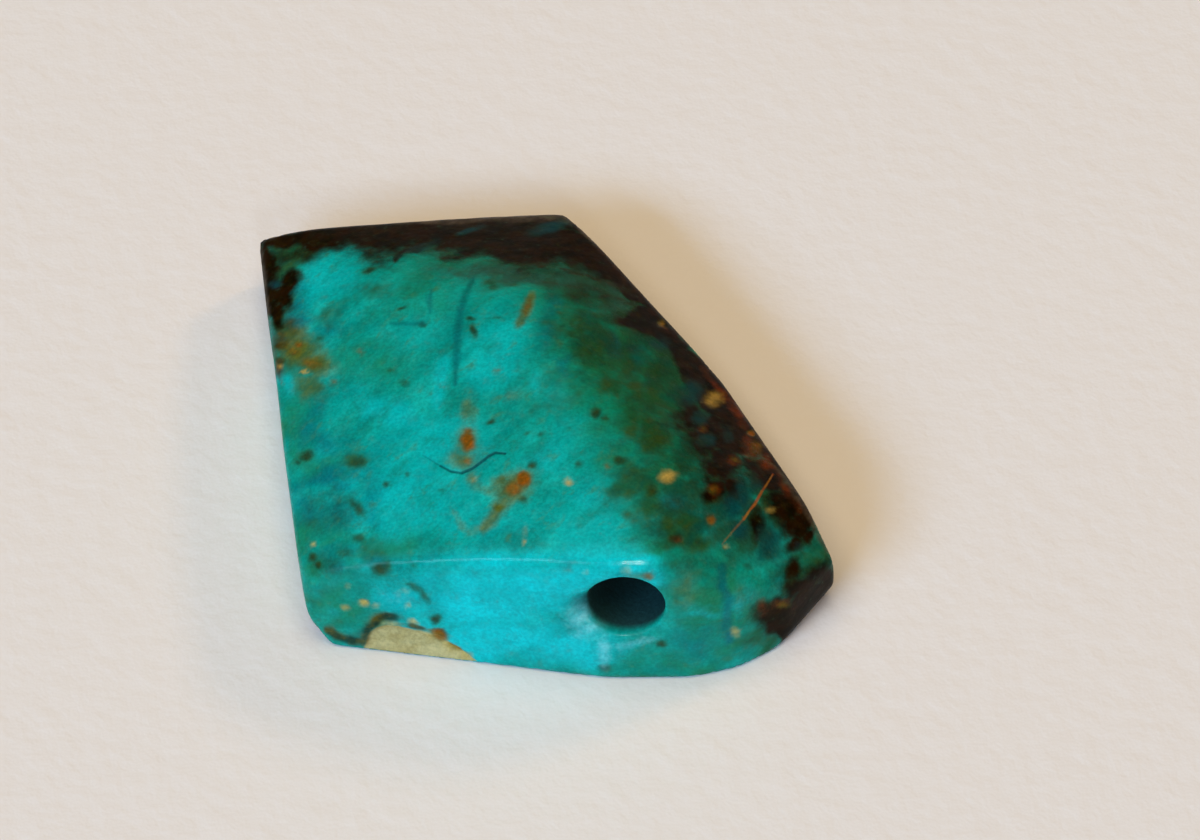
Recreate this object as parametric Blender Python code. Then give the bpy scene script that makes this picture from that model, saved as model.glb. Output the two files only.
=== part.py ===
"""A drilled turquoise nugget, ground to hand-held flats and tumbled smooth.

The stone is one piece: a slab with a low dome on top that slopes away to the back and
to the right, a nearly upright front, and a flat underside that it rests on.
A stringing hole runs from the front to the lower right side. Sizes below are in
millimetres; +X is to the right, +Y away from the front and +Z up.
"""

from math import cos, radians, sin

import bmesh
import bpy
import numpy as np
from mathutils import Vector

MM = 0.001

# Each ground flat is (compass angle that it faces, lift of that direction above the
# horizontal, reach: how far out from the middle it lies at its own height).
WALL_HEIGHT = 1.5
WALLS = (
    (94.9, 6, 6.61),  # back
    (187.8, -5, 6.48),  # left
    (190.7, -7, 6.98),  # left, towards the front
    (221.6, 7, 7.90),  # front left corner
    (261.4, 7, 6.31),  # front
    (270.4, 7, 6.60),  # front, under the hole
    (285.4, 6, 7.30),  # front, right of the hole
    (301.7, 5, 7.80),  # front right
    (317, 3, 8.07),  # round to the tip
    (342, 0, 8.57),  # tip, front
    (9, 0, 6.42),  # tip, right
    (23.5, 3, 4.62),  # right, near the tip
    (26, 4, 4.34),  # right
    (35, 4, 4.15),  # right, towards the back
)
# Slopes, bevels and undercuts are (compass angle, lift, reach, height of that reach).
SLOPES = (
    (94.2, 68, 6.70, 1.93),  # back of the top
    (31, 60, 4.22, 1.98),  # right of the top
)
BEVELS = (
    (340, 56, 7.55, 1.9),  # down to the tip
    (303, 42, 8.35, 2.3),  # front right shoulder
    (190, 52, 6.42, 2.3),  # left edge
    (222, 48, 7.50, 2.3),  # front left corner
)
UNDERCUTS = (
    (330, -38, 7.75, 0.0),  # below the tip
    (30, -30, 3.90, 0.0),  # right
    (95, -30, 6.50, 0.0),  # back
    (190, -30, 6.10, 0.0),  # left
)
DOME_TOP = Vector((3.0, 0.5, 4.3))
DOME_RADIUS_X = 22.0
DOME_RADIUS_Y = 60.0

# How far the tumbling has rounded the corners of each group of flats.
WALL_ROUNDING = 0.03
SLOPE_ROUNDING = 0.22
TOP_ROUNDING = 0.08
BASE_ROUNDING = 0.06
EDGE_ROUNDING = 0.05

# Middle of the box round all those flats, which becomes the origin.
CENTRE = Vector((-0.187, -0.006, 0.0))

# The stringing hole: where its axis meets the front, its heading and its fall.
HOLE_DIAMETER = 1.80
HOLE_MOUTH = Vector((1.79, -6.75, 2.46))
HOLE_TURN = 14  # degrees to the right of straight back
HOLE_FALL = 10  # degrees below the horizontal
HOLE_SIDES = 36

# The shallow chip that the drill broke out beside the mouth.
CHIP_RADIUS = 0.45
CHIP_CENTRE = Vector((0.93, -6.60, 2.33))

# The block that is ground down, and its grid of quads.
BLOCK_LOW = Vector((-7.6, -7.0, 0.0))
BLOCK_HIGH = Vector((7.1, 7.0, 4.5))
BLOCK_CUTS = (39, 37, 9)
CORE_SHARE = 0.35  # the stone is drawn towards this share of each point's place
CORE_HEIGHT = 1.7
GRINDING_STEPS = 40
BASE_SNAP = 0.01  # points this close to the underside lie on it


def facing(azimuth, lift):
    """Unit vector that points along a compass angle, lifted above the horizontal."""
    turn, rise = radians(azimuth), radians(lift)
    return np.array((cos(rise) * cos(turn), cos(rise) * sin(turn), sin(rise)))


def flat(points, azimuth, lift, reach, height):
    """Distance of points outside one flat, negative on the stone's side of it."""
    rise = radians(lift)
    return points @ facing(azimuth, lift) - (cos(rise) * reach + sin(rise) * height)


def dome(points):
    """Height of points above the domed top."""
    x, y, z = points.T
    across = (x - DOME_TOP.x) ** 2 / (2 * DOME_RADIUS_X)
    along = (y - DOME_TOP.y) ** 2 / (2 * DOME_RADIUS_Y)
    return z - (DOME_TOP.z - across - along)


def rounded(distances, rounding):
    """Outermost of several distances, with the corners between them rounded."""
    stack = np.stack(distances)
    outermost = stack.max(axis=0)
    spread = np.exp((stack - outermost) / rounding).sum(axis=0)
    return outermost + rounding * np.log(spread)


def outside(points):
    """Distance of points outside the whole ground stone, negative inside it."""
    walls = [flat(points, *wall, WALL_HEIGHT) for wall in WALLS]
    crest = [dome(points)] + [flat(points, *slope) for slope in SLOPES]
    top = [rounded(crest, SLOPE_ROUNDING)] + [flat(points, *bevel) for bevel in BEVELS]
    base = [-points[:, 2]] + [flat(points, *cut) for cut in UNDERCUTS]
    sides = rounded(walls, WALL_ROUNDING)
    crown = rounded(top, TOP_ROUNDING)
    foot = rounded(base, BASE_ROUNDING)
    return rounded((sides, crown, foot), EDGE_ROUNDING)


def clear_scene():
    for thing in list(bpy.data.objects):
        bpy.data.objects.remove(thing, do_unlink=True)


def new_collection(name):
    collection = bpy.data.collections.new(name)
    bpy.context.scene.collection.children.link(collection)
    return collection


def block():
    """A box of the stone's overall size, cut into a grid of quads."""
    mesh = bmesh.new()
    bmesh.ops.create_cube(mesh, size=1.0)
    for axis, cuts in enumerate(BLOCK_CUTS):
        along = [e for e in mesh.edges if abs(e.verts[0].co[axis] - e.verts[1].co[axis]) > 0.5]
        bmesh.ops.subdivide_edges(mesh, edges=along, cuts=cuts, use_grid_fill=True)
    size = BLOCK_HIGH - BLOCK_LOW
    middle = (BLOCK_HIGH + BLOCK_LOW) / 2
    for vertex in mesh.verts:
        vertex.co = Vector(a * b for a, b in zip(vertex.co, size)) + middle
    return mesh


def ground(points):
    """The points, each drawn straight towards the core until it is on the stone."""
    core = points * CORE_SHARE
    core[:, 2] = CORE_HEIGHT
    inner = np.zeros(len(points))
    outer = np.ones(len(points))
    for _ in range(GRINDING_STEPS):
        middle = (inner + outer) / 2
        out = outside(core + (points - core) * middle[:, None]) > 0
        outer = np.where(out, middle, outer)
        inner = np.where(out, inner, middle)
    return core + (points - core) * inner[:, None]


def stone(name, collection):
    """The ground stone, without its hole."""
    mesh = block()
    surface = ground(np.array([vertex.co for vertex in mesh.verts]))
    surface[surface[:, 2] < BASE_SNAP, 2] = 0.0
    for vertex, place in zip(mesh.verts, surface):
        vertex.co = (Vector(place) - CENTRE) * MM
    data = bpy.data.meshes.new(name)
    mesh.to_mesh(data)
    mesh.free()
    data.shade_smooth()
    nugget = bpy.data.objects.new(name, data)
    collection.objects.link(nugget)
    return nugget


def as_cutter(collection):
    """The object just added, set up as a cutter."""
    cutter = bpy.context.active_object
    for owner in list(cutter.users_collection):
        owner.objects.unlink(cutter)
    collection.objects.link(cutter)
    cutter.hide_render = True
    cutter.display_type = "WIRE"
    return cutter


def hole_cutter(collection):
    """A rod along the stringing hole, long enough to leave the stone at both ends."""
    heading = Vector(facing(90 - HOLE_TURN, -HOLE_FALL))
    length = 2 * (BLOCK_HIGH.y - BLOCK_LOW.y)
    bpy.ops.mesh.primitive_cylinder_add(
        vertices=HOLE_SIDES,
        radius=HOLE_DIAMETER / 2 * MM,
        depth=length * MM,
        location=(HOLE_MOUTH - CENTRE) * MM,
        rotation=heading.to_track_quat("Z", "Y").to_euler(),
    )
    return as_cutter(collection)


def chip_cutter(collection):
    """A ball that scoops the shallow chip beside the mouth of the hole."""
    bpy.ops.mesh.primitive_uv_sphere_add(
        segments=32,
        ring_count=16,
        radius=CHIP_RADIUS * MM,
        location=(CHIP_CENTRE - CENTRE) * MM,
    )
    return as_cutter(collection)


def cut(target, cutter):
    modifier = target.modifiers.new("cut", "BOOLEAN")
    modifier.operation = "DIFFERENCE"
    modifier.solver = "EXACT"
    modifier.object = cutter


def polished_turquoise():
    material = bpy.data.materials.new("turquoise")
    material.use_nodes = True
    shader = material.node_tree.nodes["Principled BSDF"]
    shader.inputs["Base Color"].default_value = (0.012, 0.40, 0.42, 1.0)
    shader.inputs["Roughness"].default_value = 0.25
    shader.inputs["Metallic"].default_value = 0.0
    return material


def main():
    clear_scene()
    nugget_parts = new_collection("turquoise_nugget")
    cutters = new_collection("cutters")
    nugget = stone("turquoise_nugget", nugget_parts)
    nugget.data.materials.append(polished_turquoise())
    cut(nugget, hole_cutter(cutters))
    cut(nugget, chip_cutter(cutters))


main()
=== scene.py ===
"""Looks of the drilled turquoise nugget: its fine skin, markings, polish and studio.

Shapes are in millimetres until the finished skin is scaled to metres. Marks are placed
in pixels of the 1200 x 840 picture that the camera here takes, u to the right and v down.
"""

from collections import namedtuple
from math import cos, radians, sin

import bmesh
import bpy
import numpy as np
from mathutils import Matrix, Vector, noise


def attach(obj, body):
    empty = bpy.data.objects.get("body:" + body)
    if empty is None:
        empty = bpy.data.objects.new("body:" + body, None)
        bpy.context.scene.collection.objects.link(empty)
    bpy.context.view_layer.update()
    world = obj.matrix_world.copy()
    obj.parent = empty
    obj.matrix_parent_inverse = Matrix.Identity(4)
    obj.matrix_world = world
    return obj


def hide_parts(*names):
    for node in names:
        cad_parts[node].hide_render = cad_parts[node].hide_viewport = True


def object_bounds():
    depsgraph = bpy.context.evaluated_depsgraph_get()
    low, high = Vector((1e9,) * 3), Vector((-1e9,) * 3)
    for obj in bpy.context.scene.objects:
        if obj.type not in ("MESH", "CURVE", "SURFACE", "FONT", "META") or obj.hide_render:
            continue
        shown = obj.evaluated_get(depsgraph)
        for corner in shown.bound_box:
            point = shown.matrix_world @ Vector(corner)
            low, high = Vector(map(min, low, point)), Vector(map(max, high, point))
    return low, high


MM = 0.001
NODE = "turquoise_nugget"

# ---------------------------------------------------------------- the stone's flats
# The same flats that the CAD solid is ground to, in the same frame before CENTRE is
# taken off: (compass angle, lift above the horizontal, reach), all at WALL_HEIGHT.
WALL_HEIGHT = 1.5
WALLS = (
    (94.9, 6, 6.61),
    (187.8, -5, 6.48),
    (190.7, -7, 6.98),
    (221.6, 7, 7.90),
    (261.4, 7, 6.31),
    (270.4, 7, 6.60),
    (285.4, 6, 7.30),
    (301.7, 5, 7.80),
    (317, 3, 8.07),
    (342, 0, 8.57),
    (9, 0, 6.42),
    (23.5, 3, 4.62),
    (26, 4, 4.34),
    (35, 4, 4.15),
)
# (compass angle, lift, reach, height of that reach)
SLOPES = ((94.2, 68, 6.70, 1.93), (31, 60, 4.22, 1.98))
BEVELS = ((340, 56, 7.55, 1.9), (303, 42, 8.35, 2.3), (190, 52, 6.42, 2.3), (222, 48, 7.50, 2.3))
UNDERCUTS = ((330, -38, 7.75, 0.0), (30, -30, 3.90, 0.0), (95, -30, 6.50, 0.0), (190, -30, 6.10, 0.0))
DOME_TOP = Vector((3.0, 0.5, 4.3))
DOME_RADIUS_X = 22.0
DOME_RADIUS_Y = 60.0
WALL_ROUNDING = 0.03
SLOPE_ROUNDING = 0.22
TOP_ROUNDING = 0.08
BASE_ROUNDING = 0.06
EDGE_ROUNDING = 0.05
RIDGE_WEAR = 0.18  # extra rounding of the ridge above the front, where hands have worn it
RIDGE_WEAR_START = -4.5  # the wear grows from this far forward on, over RIDGE_WEAR_RANGE
RIDGE_WEAR_RANGE = 1.5
CENTRE = Vector((-0.187, -0.006, 0.0))

HOLE_RADIUS = 0.90
HOLE_MOUTH = Vector((1.79, -6.75, 2.46))
HOLE_HEADING = (76, -10)  # compass angle and lift
CHIP_RADIUS = 0.45
CHIP_CENTRE = Vector((0.93, -6.60, 2.33))
HOLE_ROUNDING = 0.06
CHIP_ROUNDING = 0.10  # the chip's edge is worn softer than the hole's

# ---------------------------------------------------------------- the fine skin
VOXEL = 0.094  # width of the quads of the net
SLOPE_STEP = 0.004  # for measuring which way the surface faces
FITTING_STEPS = 5
LEAST_STEEPNESS = 0.25  # keeps the steps of the fitting short in sharp corners
FINE_CUTS = 2  # cuts in each edge near the small marks
LINE_CUTS = 1  # further cuts near the hair lines
LINE_MARGIN = 3.0  # the net is cut finer this many times as far from a hair line as it is wide
FINE_START = 0.3  # strength of such a mark from which the net is cut finer
HIDDEN_START = 0.0  # cosine of the angle of view below which the skin starts to be hidden
HIDDEN_RANGE = 0.15
WAVES_PER_MM = 0.33
WAVE_DEPTH = 0.03
HOST_DEPTH = 0.08
HOST_START = 0.6  # strength of the broken-out patch from which it is sunk
HOST_RANGE = 0.2
PIT_DEPTHS = {"specks": 0.012, "tan": 0.02, "rust": 0.012, "hair": 0.012, "seam": 0.03}
BASE_FADE = 0.3  # below this height the relief fades out, so that the underside stays flat

# ---------------------------------------------------------------- the picture
PICTURE_WIDTH = 1200
PICTURE_HEIGHT = 840
CAMERA_LENS = 150.0
CAMERA_SENSOR = 36.0
CAMERA_ELEVATION = 50.0
CAMERA_DISTANCE = 125.0
CAMERA_TARGET = Vector((1.487, 1.346, 0.0))
FOCAL_PIXELS = CAMERA_LENS / CAMERA_SENSOR * PICTURE_WIDTH

# ---------------------------------------------------------------- marks
# A spot is (u, v, half width, half height, turn in degrees anticlockwise, strength).
# A stroke has one strength and a path of (u, v, half width) from one end to the other.
# A mark of strength 1 covers the skin fully in its middle; a weak one is thin and broken.
Stroke = namedtuple("Stroke", "strength path")
Marks = namedtuple("Marks", "spots strokes", defaults=((),))

# Broad marks, which run right through the slab: mostly stains, with painted shade, painted highlights and
# painted reflections among them where noted.
GREEN = Marks(
    spots=(
        (372, 358, 46, 26, -20, 0.7),
        (392, 376, 24, 12, -20, 0.6),
        (296, 425, 20, 44, 0, 0.9),
        (316, 470, 26, 16, 0, 0.7),
        (316, 548, 30, 42, 0, 1.0),
        (338, 612, 36, 34, 0, 1.0),
        (392, 545, 36, 16, 5, 0.8),
        (560, 400, 40, 40, 30, 0.6),
        (606, 392, 56, 70, 32, 1.0),
        (650, 360, 50, 60, 40, 1.1),
        (650, 470, 46, 50, 20, 1.1),
        (660, 536, 38, 28, -20, 1.1),
        (560, 300, 36, 30, 0, 0.8),
        (500, 268, 80, 20, -4, 0.8),
        (640, 655, 80, 24, 6, 0.8),
        (716, 600, 54, 50, 0, 1.1),
        (806, 548, 16, 16, 0, 1.0),
        (752, 585, 24, 24, 0, 0.8),
        (288, 262, 24, 14, 30, 1.0),
        (430, 300, 60, 40, 6, 0.6),
        (480, 400, 40, 24, 20, 0.5),
    ),
    strokes=(Stroke(0.8, ((620, 672, 14), (700, 668, 18), (760, 640, 14))),),
)
BRIGHT = Marks(
    spots=(
        (330, 272, 36, 20, 34, 1.2),
        (345, 290, 26, 12, 20, 0.6),
        (392, 412, 40, 13, -14, 1.1),
        (441, 383, 8, 22, -4, 1.1),
        (440, 446, 44, 30, 20, 0.9),
        (410, 486, 62, 42, 20, 0.9),
        (470, 520, 60, 22, 0, 0.7),
        (590, 530, 50, 26, 0, 0.9),
        (500, 345, 34, 44, -20, 1.0),
        (470, 300, 30, 20, -20, 0.5),
        (555, 395, 20, 30, 20, 0.5),
        (595, 495, 36, 20, 0, 0.7),
        (425, 330, 44, 18, 10, 0.5),
        (556, 450, 40, 20, 30, 0.7),
        (538, 386, 5, 16, -14, 0.7),
        (678, 497, 16, 8, 0, 0.8),
        (284, 388, 6, 10, 0, 1.1),
        (786, 574, 6, 15, -14, 0.7),
        (769, 542, 10, 12, 0, 0.5),
    ),
)
PALE_AND_RIDGE_HIGHLIGHT = Marks(
    spots=(
        (488, 600, 70, 26, 8, 1.0),
        (560, 588, 60, 20, 4, 0.9),
        (500, 640, 60, 18, 6, 1.0),
        (572, 648, 50, 18, 4, 0.9),
        # The next three spots are painted light along the rounded ridge above the front: a lit band, with
        # a painted highlight at its lightest spot.
        (500, 560, 60, 12, 2, 0.7),
        (590, 555, 50, 12, 0, 0.8),
        (644, 562, 20, 7, 0, 0.9),
        (610, 576, 40, 8, 0, 0.9),
        (652, 574, 14, 8, 0, 0.7),
        (424, 628, 26, 14, 10, 0.6),
        (396, 596, 20, 12, 0, 0.7),
        (330, 618, 10, 18, -20, 0.3),
        (704, 612, 20, 5, 0, 0.4),
        (735, 602, 9, 10, 20, 0.5),
        (748, 592, 9, 14, 20, 0.3),
        (750, 570, 10, 12, 0, 0.2),
        (799, 548, 12, 2.5, 45, 0.45),
    ),
)
DEEP_AND_BEVEL_SHADE = Marks(
    spots=(
        (616, 346, 7, 11, 0, 1.0),
        (638, 352, 9, 7, 0, 0.9),
        (566, 360, 8, 6, 0, 0.8),
        (552, 320, 10, 34, -4, 0.8),
        (332, 478, 30, 11, 8, 0.9),
        (342, 488, 10, 8, 0, 0.7),
        (310, 514, 20, 15, 0, 0.7),
        (372, 500, 16, 30, 30, 0.5),
        (332, 561, 12, 9, 0, 0.7),
        (330, 330, 16, 10, 10, 0.6),
        (314, 414, 12, 20, 0, 0.5),
        (316, 436, 20, 12, 0, 0.7),
        (330, 548, 26, 10, 0, 0.6),
        (740, 490, 4, 14, 0, 1.0),
        (766, 548, 9, 14, 0, 0.7),
        (738, 530, 9, 7, 30, 0.8),
        (275, 252, 10, 5, 20, 0.8),
        (690, 640, 30, 12, 10, 0.5),
        (676, 499, 14, 8, 0, 1.0),
        (742, 497, 6, 18, 0, 1.2),
        (768, 546, 12, 18, 0, 1.0),
        (300, 300, 12, 16, 0, 0.8),
        (300, 320, 18, 10, 0, 0.8),
        (336, 510, 22, 16, 0, 0.6),
        (380, 558, 16, 9, 0, 0.7),
        (320, 440, 24, 16, 0, 0.6),
    ),
    # This stroke is painted shade: the dark line of a bevel on the front, right of the hole.
    strokes=(Stroke(0.9, ((726, 566, 5), (722, 600, 6), (725, 644, 7))),),
)
# Grey-teal over the back slope: painted shade where the slope turns from the lights, with a painted
# reflection veil of the room over it.
SHADE_AND_VEIL = Marks(
    spots=(
        (520, 276, 66, 12, -3, 1.0),
        (596, 286, 50, 16, -14, 1.1),
        (620, 308, 44, 14, -30, 1.0),
        (285, 330, 18, 14, 0, 0.9),
    ),
)
MOSS = Marks(
    spots=(
        (584, 300, 30, 14, -10, 0.8),
        (575, 330, 18, 20, 0, 0.5),
        (598, 340, 28, 32, 20, 0.9),
        (632, 352, 30, 26, 0, 0.8),
        (664, 370, 18, 30, 20, 1.0),
        (645, 402, 24, 22, 0, 0.7),
        (620, 440, 16, 20, 0, 0.4),
        (657, 440, 20, 28, 0, 0.8),
        (640, 478, 26, 20, 0, 0.8),
        (664, 506, 24, 18, 0, 0.9),
        (695, 518, 30, 16, 0, 1.0),
        (728, 532, 24, 14, 0, 1.0),
        (700, 562, 24, 10, 0, 0.5),
        (764, 553, 20, 16, 0, 0.8),
        (790, 575, 16, 20, 0, 0.9),
        (690, 490, 30, 34, 0, 0.9),
        (720, 510, 34, 26, 0, 1.0),
        (745, 535, 24, 26, 0, 1.1),
        (680, 528, 34, 18, 0, 1.0),
        (690, 450, 20, 30, 0, 0.9),
        (650, 340, 30, 20, 40, 0.9),
        (675, 390, 20, 26, 30, 0.9),
        (320, 562, 22, 12, 0, 0.6),
        (336, 508, 24, 16, 0, 0.5),
        (280, 256, 20, 10, 0, 0.9),
        (300, 256, 24, 9, 8, 1.2),
        (652, 498, 20, 16, 0, 0.8),
        (800, 540, 14, 10, 0, 0.8),
        (817, 548, 14, 13, 0, 0.7),
    ),
)
OLIVE = Marks(
    spots=(
        (610, 382, 15, 11, 0, 1.1),
        (592, 350, 11, 13, 0, 0.9),
        (572, 388, 8, 6, 0, 0.6),
        (640, 378, 11, 8, 0, 0.9),
        (652, 392, 12, 14, 0, 1.0),
        (634, 424, 12, 12, 0, 0.9),
        (656, 428, 14, 20, 0, 1.0),
        (620, 366, 10, 10, 0, 0.8),
        (626, 470, 18, 12, -20, 0.7),
        (621, 486, 12, 12, 0, 0.9),
        (652, 490, 9, 9, 0, 1.0),
        (640, 508, 16, 14, 20, 0.9),
        (671, 521, 9, 9, 0, 1.0),
        (688, 516, 11, 7, 0, 1.1),
        (676, 540, 9, 6, 20, 0.9),
        (702, 540, 12, 8, 0, 1.0),
        (678, 603, 7, 18, 0, 0.5),
        (705, 577, 16, 5, -22, 0.5),
        (764, 500, 14, 14, 0, 0.9),
        (772, 512, 14, 10, 0, 0.9),
        (818, 568, 18, 16, 0, 1.1),
        (278, 271, 12, 6, 15, 1.2),
        (296, 250, 24, 8, 6, 1.2),
        (298, 354, 22, 15, 0, 1.2),
        (284, 338, 14, 12, 0, 0.9),
        (372, 287, 16, 8, 30, 0.7),
        (306, 383, 14, 12, 0, 0.8),
        (330, 316, 18, 8, 10, 0.7),
        (350, 461, 18, 7, 0, 0.7),
        (466, 458, 10, 12, 0, 0.5),
        (372, 548, 20, 10, 0, 0.8),
        (324, 590, 14, 12, 0, 0.6),
        (560, 400, 30, 14, 20, 0.5),
        (572, 328, 24, 14, 0, 0.7),
        (552, 376, 20, 8, 30, 0.5),
        (760, 640, 22, 9, 20, 0.7),
        (400, 284, 20, 5, 25, 0.5),
        (500, 290, 18, 6, 10, 0.5),
    ),
)
MATRIX_AND_TIP_SHADE = Marks(
    spots=(
        (640, 321, 22, 7, -4, 1.1),
        (668, 330, 15, 9, -40, 1.1),
        (683, 347, 12, 11, 0, 1.1),
        (698, 366, 11, 13, 0, 1.1),
        (710, 385, 14, 13, 0, 1.1),
        (724, 405, 18, 15, 0, 1.2),
        (690, 416, 20, 14, 0, 1.1),
        (712, 432, 24, 18, 0, 1.2),
        (736, 440, 20, 22, 0, 1.2),
        (724, 463, 20, 18, 0, 1.2),
        (716, 484, 9, 13, 0, 1.0),
        (730, 488, 8, 13, 0, 1.1),
        (762, 476, 18, 18, 0, 1.2),
        (782, 498, 20, 20, -40, 1.2),
        (796, 521, 18, 18, -40, 1.2),
        (748, 527, 7, 18, 0, 1.1),
        (791, 541, 8, 11, 0, 1.1),
        (807, 534, 10, 6, 30, 1.0),
        # These four spots darken the tip's lower right wall: dark matrix with painted shade of a wall that
        # faces away from the lights.
        (778, 616, 20, 16, 0, 1.2),
        (796, 574, 5, 15, -6, 0.9),
        (822, 578, 16, 14, 0, 1.1),
        (806, 590, 20, 12, 20, 1.1),
        (286, 281, 13, 8, 25, 1.2),
        (281, 296, 13, 16, 0, 1.2),
        (275, 312, 8, 14, 0, 1.1),
        (262, 262, 8, 22, 0, 1.2),
        (282, 257, 22, 10, 0, 0.55),
        (306, 254, 18, 9, 0, 0.6),
    ),
    strokes=(
        Stroke(1.25, ((256, 238, 9), (300, 236, 9), (325, 234, 16), (349, 232, 14), (366, 232, 17))),
        Stroke(1.25, ((366, 232, 17), (376, 232, 24), (396, 230, 22), (436, 232, 21), (476, 230, 21))),
        Stroke(1.25, ((476, 230, 21), (494, 232, 23), (514, 236, 26), (540, 236, 24), (570, 240, 24))),
        Stroke(1.25, ((570, 240, 24), (590, 250, 22), (608, 262, 17), (622, 278, 10), (644, 304, 6))),
        Stroke(0.8, ((440, 244, 8), (414, 253, 5), (396, 260, 3))),
        Stroke(1.3, ((636, 318, 8), (662, 333, 11), (683, 354, 12), (700, 376, 13), (716, 400, 14))),
        Stroke(1.2, ((644, 304, 5), (675, 337, 8), (697, 365, 9), (716, 392, 10), (735, 420, 12))),
        Stroke(1.1, ((262, 250, 7), (268, 280, 8), (273, 312, 8), (276, 326, 5))),
        Stroke(
            1.3,
            ((590, 232, 8), (622, 270, 8), (650, 302, 8), (668, 322, 8), (700, 362, 8), (744, 412, 8)),
        ),
        Stroke(1.3, ((744, 412, 8), (764, 441, 8), (784, 470, 8), (802, 499, 7), (812, 518, 5))),
        Stroke(1.3, ((380, 210, 10), (480, 204, 12), (572, 204, 12), (590, 222, 8))),
        # This stroke is painted shade along the wall under the tip, over dark matrix.
        Stroke(1.5, ((838, 586, 8), (820, 600, 12), (800, 616, 13), (782, 633, 7))),
    ),
)
ISLET = Marks(
    spots=(
        (690, 392, 12, 11, 30, 1.2),
        (700, 418, 9, 7, 0, 1.2),
        (707, 440, 9, 7, 0, 1.1),
        (728, 437, 6, 8, 0, 0.7),
        (660, 344, 10, 7, -20, 0.9),
        (694, 346, 8, 5, 0, 0.6),
        (742, 490, 6, 14, 0, 1.3),
        (755, 486, 8, 8, 0, 0.8),
        (732, 505, 8, 12, 0, 1.0),
        (741, 532, 9, 9, 0, 1.1),
        (768, 540, 11, 13, 0, 1.1),
        (806, 549, 10, 8, 0, 0.5),
        (272, 285, 7, 4, 20, 0.8),
        (552, 226, 20, 5, 14, 1.2),
        (470, 231, 12, 3.5, 14, 1.2),
        (430, 244, 14, 3, 20, 0.8),
        (410, 252, 16, 3, 20, 0.8),
    ),
)
# Light lines along the rims are painted reflections of the rounded edges; the spot under the tip is
# painted shade on its wall.
RIM_REFLECTION_AND_SHADE = Marks(
    spots=((812, 620, 12, 4, 38, 0.3),),
    strokes=(
        Stroke(
            1.0,
            ((380, 222, 2), (440, 219, 4), (500, 216, 6), (560, 213, 7), (578, 218, 6), (592, 238, 3)),
        ),
        Stroke(0.8, ((772, 464, 2), (790, 487, 3), (812, 518, 4), (829, 548, 4))),
        Stroke(0.7, ((258, 236, 2), (266, 300, 2), (273, 350, 3), (281, 385, 2))),
    ),
)
STREAK = Marks(
    spots=(
        (541, 267, 7, 2, 0, 0.8),
        (570, 272, 8, 2, -4, 0.8),
        (606, 296, 9, 2, 8, 0.9),
        (577, 294, 12, 4, 0, 0.6),
        (632, 303, 8, 3, 4, 0.9),
        (584, 290, 10, 3, 0, 0.6),
        (530, 263, 20, 4, 0, 0.5),
    ),
    strokes=(
        Stroke(0.8, ((560, 268, 2), (590, 276, 3), (620, 288, 3), (640, 292, 2))),
        Stroke(0.6, ((572, 286, 1.5), (600, 292, 2), (630, 301, 2))),
        Stroke(0.5, ((540, 282, 1.5), (580, 286, 2), (606, 292, 2))),
    ),
)

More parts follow.
